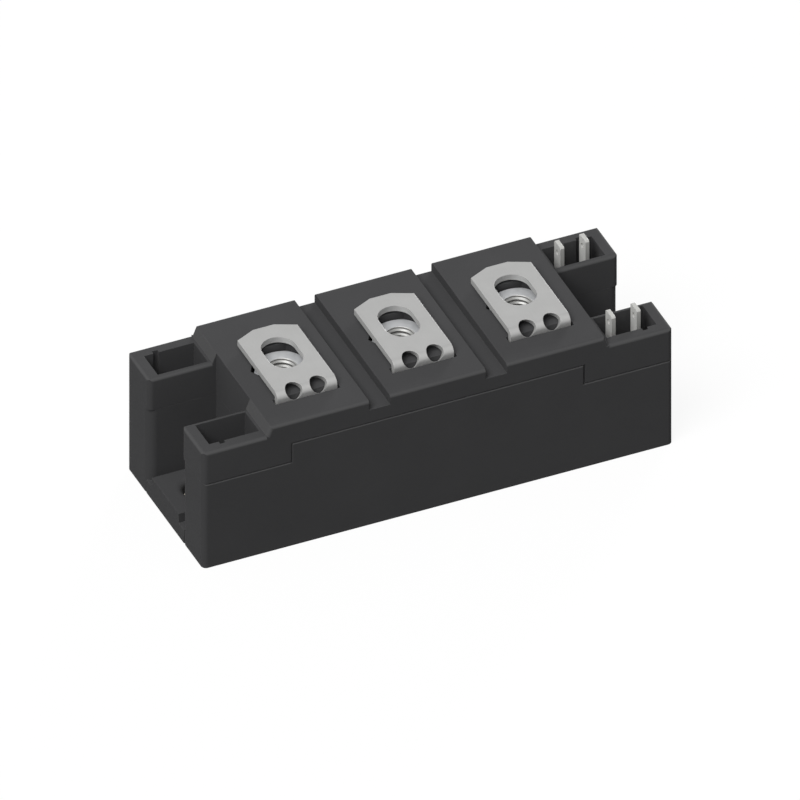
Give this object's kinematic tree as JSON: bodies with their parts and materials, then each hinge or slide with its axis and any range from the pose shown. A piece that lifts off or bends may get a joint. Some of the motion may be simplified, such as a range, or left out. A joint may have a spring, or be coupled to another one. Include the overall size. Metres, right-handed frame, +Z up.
{
  "type": "thyristor module",
  "caption": "Power thyristor module: dark moulded housing on a metal base plate, screw terminals on the deck, slotted mounting recesses at the ends and flat gate pins in plug towers.",
  "frame": {"origin": "middle of the base plate's underside", "axes": "+X along the module towards the gate pins, -Y the side on which the terminals bend down into the deck, +Z up out of the deck"},
  "size_m": [0.094, 0.034, 0.0303],
  "materials": {
    "nickel_plated_copper": "satin nickel plate",
    "moulded_plastic": "fine moulded texture, dark grey",
    "tinned_copper": "satin tin plate",
    "zinc_plated_steel": "bright zinc plate",
    "tinned_brass": "satin tin plate",
    "bare_copper": "bare copper",
    "alumina": "fired, white",
    "silicon": "metallised silicon",
    "silicone_insulation": "smooth extruded silicone",
    "silicone_gel": "clear soft gel"
  },
  "bodies": {
    "root": {"base_plate": "nickel_plated_copper", "housing_frame": "moulded_plastic", "housing_cover": "moulded_plastic", "terminal_left": "tinned_copper", "terminal_middle": "tinned_copper", "terminal_right": "tinned_copper", "terminal_nuts": "zinc_plated_steel", "gate_pin_front": "tinned_brass", "cathode_pin_front": "tinned_brass", "gate_pin_rear": "tinned_brass", "cathode_pin_rear": "tinned_brass", "substrate_back_copper": "bare_copper", "substrate_ceramic": "alumina", "track_left": "bare_copper", "track_middle": "bare_copper", "track_right": "bare_copper", "thyristor_chip_middle": "silicon", "thyristor_chip_right": "silicon", "cathode_clip_middle": "bare_copper", "cathode_clip_right": "bare_copper", "gate_lead_front": "silicone_insulation", "cathode_lead_front": "silicone_insulation", "gate_lead_rear": "silicone_insulation", "cathode_lead_rear": "silicone_insulation", "insulating_gel": "silicone_gel"}
  },
  "joints": []
}
